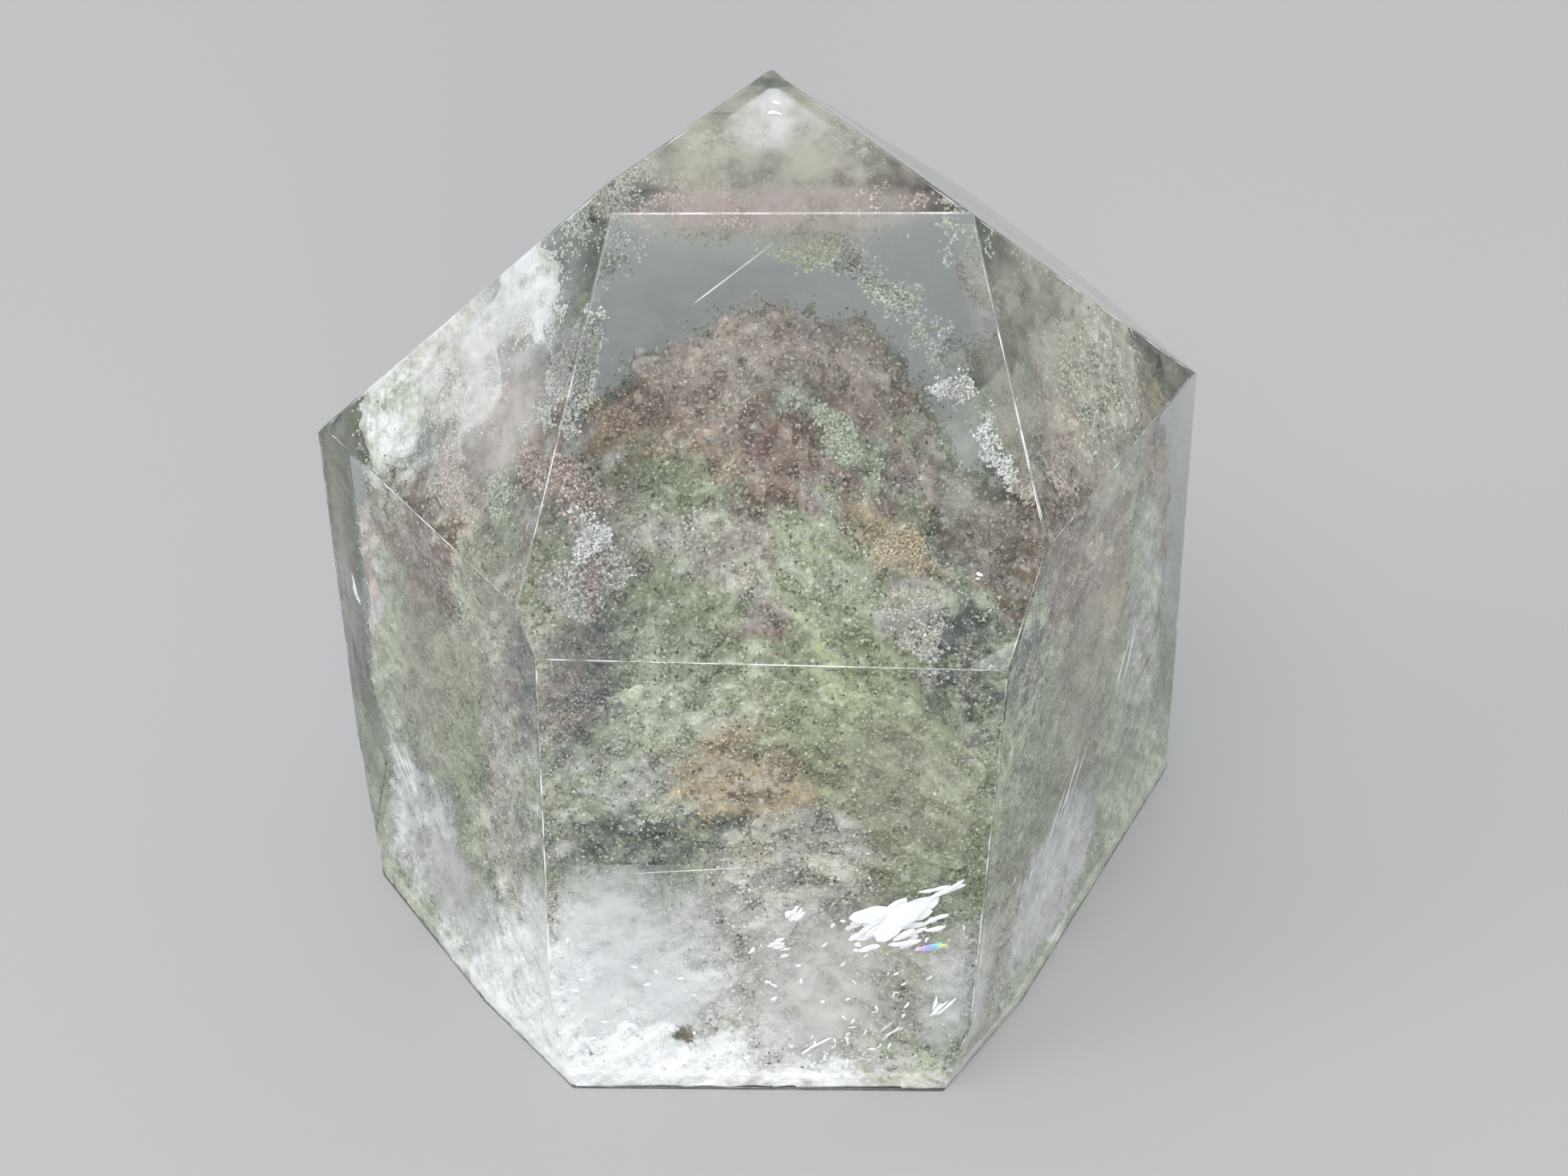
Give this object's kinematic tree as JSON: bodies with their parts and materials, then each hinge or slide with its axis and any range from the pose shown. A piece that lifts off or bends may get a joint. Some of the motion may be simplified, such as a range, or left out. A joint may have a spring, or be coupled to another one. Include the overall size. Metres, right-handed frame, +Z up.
{
  "type": "polished chlorite quartz point",
  "caption": "Faceted point of clear quartz, ground flat on a broad six-sided habit, standing on a flat base, with grey-green and rust-brown mineral clouds inside.",
  "frame": {"origin": "middle of the stone's outline, at the level of its flat base", "axes": "+Z up towards the tip, +X to the right as the broad front face is looked at, +Y from the front face to the back"},
  "size_m": [0.0406, 0.0285, 0.0439],
  "materials": {
    "clear_quartz": "polished, clear and colourless, index of refraction 1.544",
    "chlorite": "fine matt grey-green mineral grains sealed in the quartz",
    "iron_stain": "fine matt rust-brown and ochre mineral grains sealed in the quartz",
    "white_veil": "white milky flecks and tiny healed cracks sealed in the quartz",
    "fresh_fracture": "bright thin internal crack, with a rainbow film on one small part"
  },
  "bodies": {
    "root": {"quartz_crystal": "clear_quartz", "chlorite_garden": "chlorite"}
  },
  "joints": []
}
